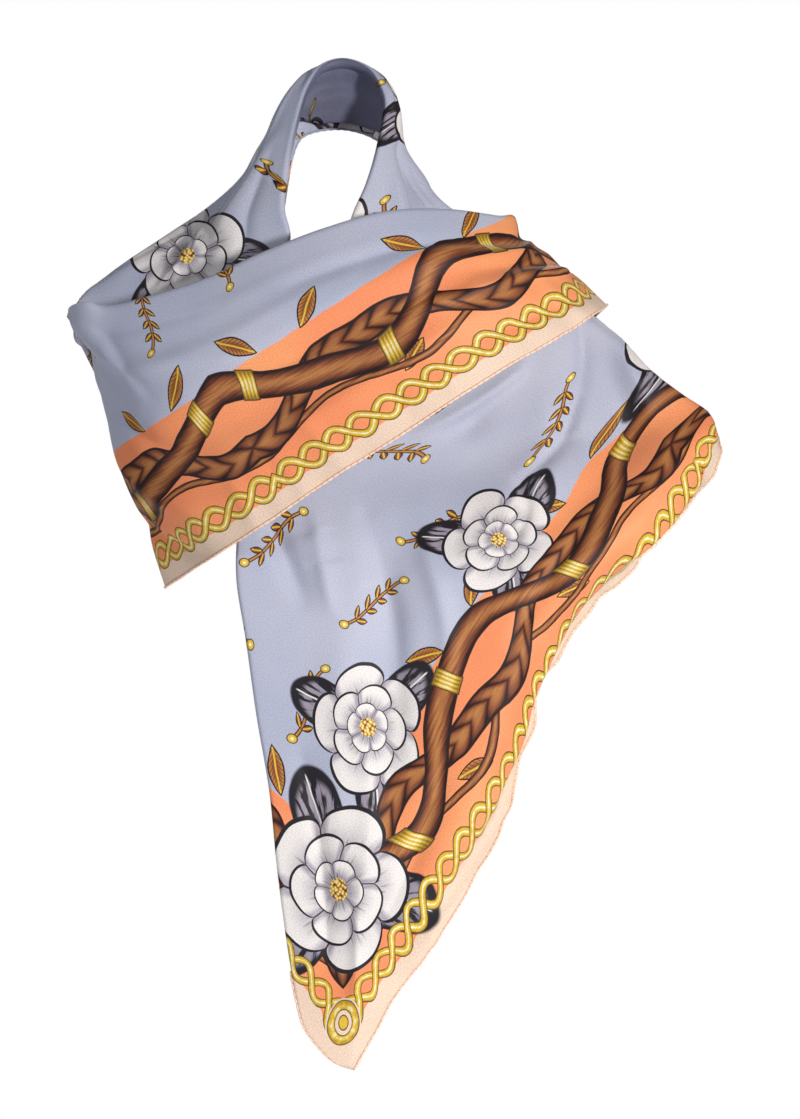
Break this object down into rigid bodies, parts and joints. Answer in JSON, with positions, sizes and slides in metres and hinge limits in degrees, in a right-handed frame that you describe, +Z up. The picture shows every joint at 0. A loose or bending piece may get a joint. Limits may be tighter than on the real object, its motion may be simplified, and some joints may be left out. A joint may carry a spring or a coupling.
{
  "type": "silk square scarf",
  "caption": "Large silk twill square with a rolled hem, folded on its diagonal and worn: round the nape, one end down the front, the other across it.",
  "frame": {"origin": "inner face of the gathered band at the back of the neck, where the wearer's nape holds the scarf", "axes": "+Z up, the front of the scarf faces -Y, +X to the right as seen from the front"},
  "size_m": [0.634, 0.2733, 0.9777],
  "materials": {
    "silk_field": "printed silk twill, soft sheen, blue-grey field with a coral and peach border",
    "silk_hem": "hand-rolled hem in the peach of the border"
  },
  "bodies": {
    "root": {"hanging_end": "silk_field", "hanging_end_hem": "silk_hem", "right_shoulder": "silk_field", "right_shoulder_hem": "silk_hem", "neck_band": "silk_field", "neck_band_hem": "silk_hem", "left_shoulder": "silk_field", "left_shoulder_hem": "silk_hem", "cross_front": "silk_field", "cross_front_hem": "silk_hem", "thrown_end": "silk_field", "thrown_end_hem": "silk_hem"}
  },
  "joints": []
}
